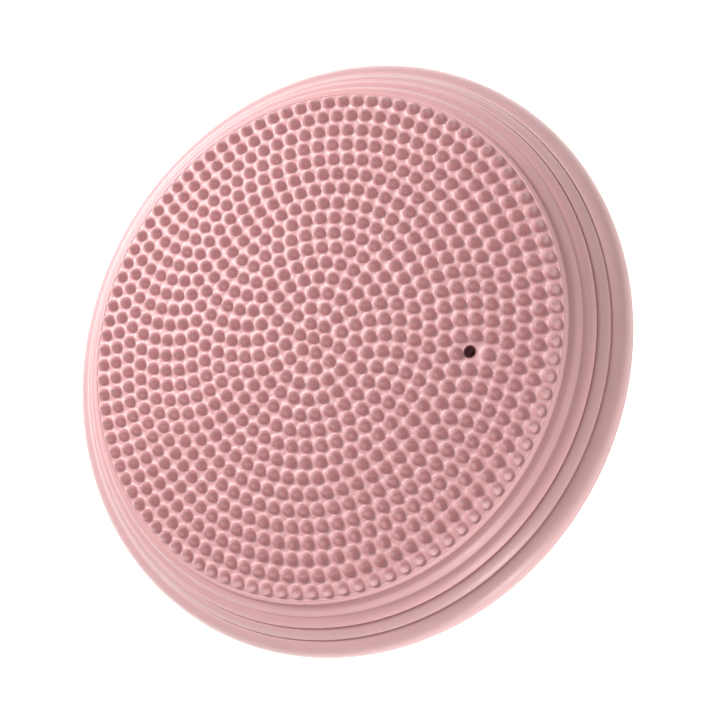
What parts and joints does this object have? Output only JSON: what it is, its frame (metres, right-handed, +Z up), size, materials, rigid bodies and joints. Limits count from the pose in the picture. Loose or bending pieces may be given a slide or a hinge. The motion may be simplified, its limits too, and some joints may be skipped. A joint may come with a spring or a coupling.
{
  "type": "wobble cushion",
  "caption": "Round air-filled wobble cushion: nubbed standing face, stepped flexible side, rounded rim, smooth underside and a recessed needle valve.",
  "frame": {"origin": "centre of the flat underside, on the surface the cushion lies on", "axes": "+Z up out of the nubbed face, +X from the middle towards the needle valve"},
  "size_m": [0.34, 0.34, 0.045],
  "materials": {
    "face_pvc": "satin",
    "rim_pvc": "satin",
    "underside_pvc": "satin",
    "collar_pvc": "satin",
    "valve_rubber": "matte"
  },
  "bodies": {
    "base": {"bottom_skin": "underside_pvc"},
    "rim": {"rim_ring": "rim_pvc"},
    "deck": {"top_skin": "face_pvc", "valve_seat": "collar_pvc", "valve_core": "valve_rubber"}
  },
  "joints": [
    {"name": "wobble_tilt", "type": "hinge", "parent": "base", "child": "rim", "pos_m": [0, 0, 0.013], "axis": [0, 1, 0], "range_deg": [-4, 4], "stiffness_Nm_per_rad": 300, "deforming": ["rim_ring"]},
    {"name": "face_press", "type": "slide", "parent": "rim", "child": "deck", "axis": [0, 0, -1], "range_m": [0, 0.008], "stiffness_N_per_m": 60000, "deforming": ["top_skin"]}
  ]
}
